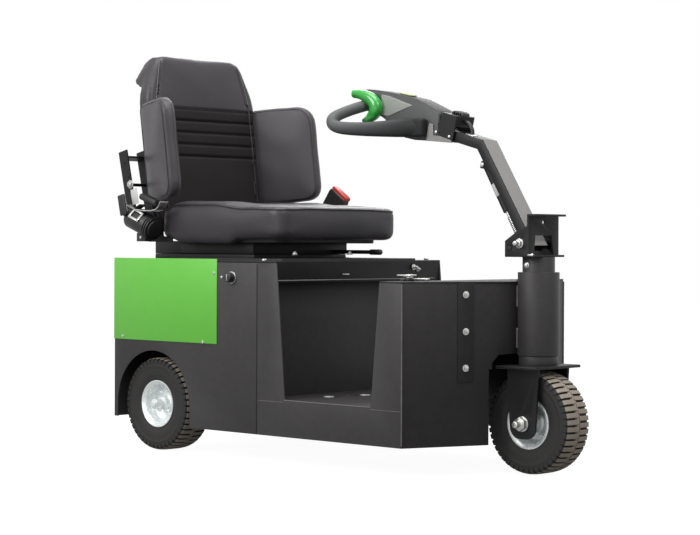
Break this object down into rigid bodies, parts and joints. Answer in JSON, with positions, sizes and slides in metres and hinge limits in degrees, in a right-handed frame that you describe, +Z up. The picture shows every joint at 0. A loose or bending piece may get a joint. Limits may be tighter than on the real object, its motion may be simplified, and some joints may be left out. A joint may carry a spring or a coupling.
{
  "type": "electric tow tug",
  "caption": "Ride-on three-wheel tow tug with a folded steel body, step-through footwell, bolstered seat and a sprung tiller with loop grips.",
  "frame": {"origin": "on the ground under the middle of the machine's length and width", "axes": "+X forward, +Y to the driver's left, +Z up"},
  "size_m": [1.62, 0.723, 1.2127],
  "materials": {
    "charcoal_paint": "satin powder coat",
    "dark_paint": "satin powder coat",
    "green_plastic": "gloss",
    "light_plastic": "matt",
    "black_plastic": "matt",
    "seat_vinyl": "semi-matt",
    "tyre_rubber": "matt",
    "zinc": "bright zinc plate",
    "cast_parts": "painted casting",
    "handle_rubber": "matt"
  },
  "bodies": {
    "chassis": {"side_panel_right": "charcoal_paint", "side_panel_left": "charcoal_paint", "rear_panel": "charcoal_paint", "deck_plate": "charcoal_paint", "side_covers": "green_plastic", "battery_bulkhead": "dark_paint", "charge_socket": "black_plastic", "step_frame_right": "charcoal_paint", "step_frame_left": "charcoal_paint", "footwell_pan": "dark_paint", "nose_plate_right": "charcoal_paint", "nose_plate_left": "charcoal_paint", "nose_strips": "charcoal_paint", "nose_lid": "dark_paint", "steering_head_tube": "dark_paint", "chassis_rails": "dark_paint", "battery_pack": "black_plastic", "transaxle": "cast_parts", "tow_coupling": "dark_paint", "seat_slides": "dark_paint", "seat_frame": "dark_paint", "seat_cushion": "seat_vinyl", "seat_backrest": "seat_vinyl", "backrest_wings": "seat_vinyl", "belt_reel": "black_plastic", "belt_bracket": "dark_paint", "belt_buckle": "black_plastic", "seat_levers": "dark_paint"},
    "steering": {"steering_stem": "dark_paint", "head_bracket": "dark_paint", "tiller_pins": "zinc", "fork": "dark_paint", "front_axle": "zinc"},
    "front_wheel": {"front_rim": "zinc", "front_tyre": "tyre_rubber"},
    "rear_wheel_right": {"rear_right_rim": "zinc", "rear_right_tyre": "tyre_rubber"},
    "rear_wheel_left": {"rear_left_rim": "zinc", "rear_left_tyre": "tyre_rubber"},
    "tiller": {"tiller_tube": "dark_paint", "tiller_clamp": "dark_paint", "control_head": "black_plastic", "handle_loops": "handle_rubber", "throttle_paddles": "green_plastic"},
    "strut_barrel": {"strut_cylinder": "black_plastic"},
    "strut_slider": {"strut_rod": "zinc"}
  },
  "joints": [
    {"name": "steer", "type": "hinge", "parent": "chassis", "child": "steering", "pos_m": [0.67, 0, 0.437], "axis": [0, 0, 1], "range_deg": [-30, 30]},
    {"name": "front_wheel_spin", "type": "hinge", "parent": "steering", "child": "front_wheel", "pos_m": [0.67, 0, 0.14], "axis": [0, 1, 0], "continuous": true},
    {"name": "rear_right_spin", "type": "hinge", "parent": "chassis", "child": "rear_wheel_right", "pos_m": [-0.52, -0.287, 0.14], "axis": [0, 1, 0], "continuous": true},
    {"name": "rear_left_spin", "type": "hinge", "parent": "chassis", "child": "rear_wheel_left", "pos_m": [-0.52, 0.287, 0.14], "axis": [0, 1, 0], "continuous": true},
    {"name": "tiller_fold", "type": "hinge", "parent": "steering", "child": "tiller", "pos_m": [0.656, 0, 0.629], "axis": [0, 1, 0], "range_deg": [-6, 26]},
    {"name": "strut_swing", "type": "hinge", "parent": "tiller", "child": "strut_barrel", "pos_m": [0.485, 0, 0.848], "axis": [0, 1, 0], "range_deg": [-2, 2]},
    {"name": "strut_slide", "type": "slide", "parent": "strut_barrel", "child": "strut_slider", "axis": [0.4997, 0, -0.8662], "range_m": [-0.007, 0.021]}
  ],
  "couplings": [
    {"joint": "strut_swing", "follows": "tiller_fold", "ratio": -0.0075},
    {"joint": "strut_slide", "follows": "tiller_fold", "m_per_rad": 0.03825}
  ]
}
